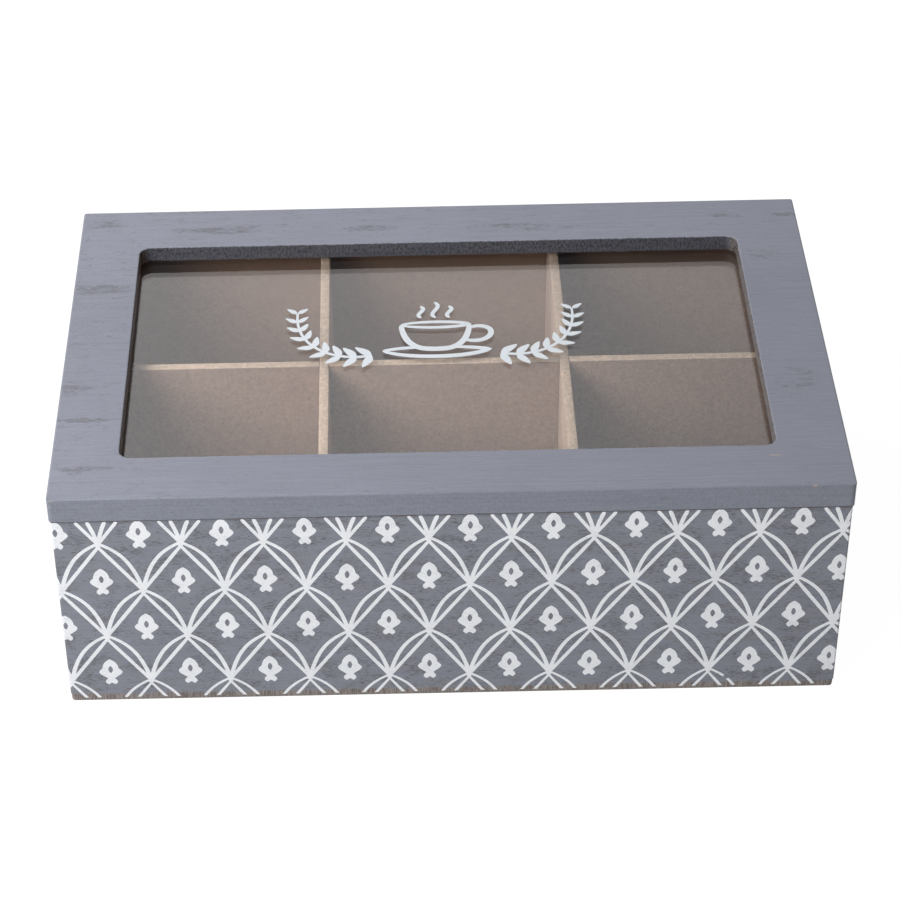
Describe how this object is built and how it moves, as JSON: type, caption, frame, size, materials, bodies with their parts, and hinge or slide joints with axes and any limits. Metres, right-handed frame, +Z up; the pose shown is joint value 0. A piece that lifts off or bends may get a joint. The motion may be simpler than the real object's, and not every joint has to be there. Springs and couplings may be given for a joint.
{
  "type": "tea bag box",
  "caption": "Shallow wooden box for tea bags, with crossed dividers making compartments under a hinged lid that has a glass window.",
  "frame": {"origin": "centre of the underside of the base, on the surface that the box stands on", "axes": "+X along the box to the right as seen from the front, +Y to the back (the hinge side), +Z up"},
  "size_m": [0.24, 0.1556, 0.0818],
  "materials": {
    "body_paint": "fibreboard, brushed with dark grey paint",
    "lid_paint": "veneered board, brushed with pale blue-grey paint",
    "raw_board": "bare fibreboard",
    "hardboard": "bare hardboard",
    "brass": "plated sheet",
    "steel": "bright drawn wire and sheet",
    "glass": "clear float glass"
  },
  "bodies": {
    "box": {"base_panel": "hardboard", "front_panel": "body_paint", "back_panel": "body_paint", "left_panel": "body_paint", "right_panel": "body_paint", "long_divider": "raw_board", "cross_divider_left": "raw_board", "cross_divider_right": "raw_board", "base_brads": "steel", "hinge_left_body_leaf": "brass", "hinge_right_body_leaf": "brass", "hinge_left_pin": "steel", "hinge_right_pin": "steel", "hinge_body_screws": "brass"},
    "lid": {"lid_frame": "lid_paint", "glass_pane": "glass", "glazing_points": "steel", "hinge_left_lid_leaf": "brass", "hinge_right_lid_leaf": "brass", "hinge_lid_screws": "brass"}
  },
  "joints": [
    {"name": "lid_hinge", "type": "hinge", "parent": "box", "child": "lid", "pos_m": [0, 0.0779, 0.073], "axis": [-1, 0, 0], "range_deg": [0, 190]}
  ]
}
